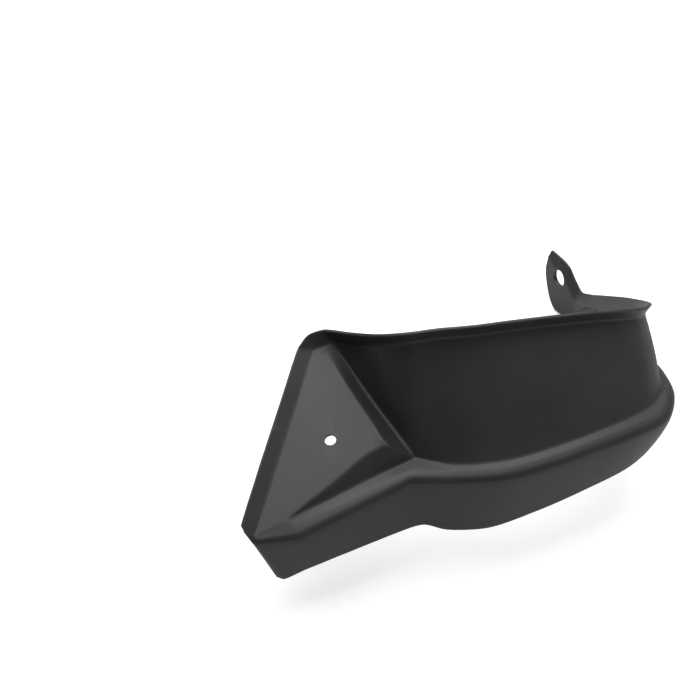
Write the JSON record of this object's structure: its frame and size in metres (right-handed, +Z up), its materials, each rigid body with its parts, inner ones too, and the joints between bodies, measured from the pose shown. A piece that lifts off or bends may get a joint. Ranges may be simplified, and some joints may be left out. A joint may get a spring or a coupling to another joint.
{
  "type": "motorcycle hand guard",
  "caption": "Wrap-around moulded hand guard: convex front wall with flared lip, shelf and skirt, three-sided mounting plate with a screw hole, and a return arm ending in a bar-end tab.",
  "frame": {"origin": "centre of the bar-end hole, at the middle of the tab's thickness", "axes": "+X along the handlebar and outwards (the bar-end hole's axis), -Y forwards to the front of the guard, +Z up as the guard stands in the picture"},
  "size_m": [0.2618, 0.1671, 0.1168],
  "materials": {
    "shell": "fine-grained satin black moulding"
  },
  "bodies": {
    "root": {"hand_guard": "shell"}
  },
  "joints": []
}
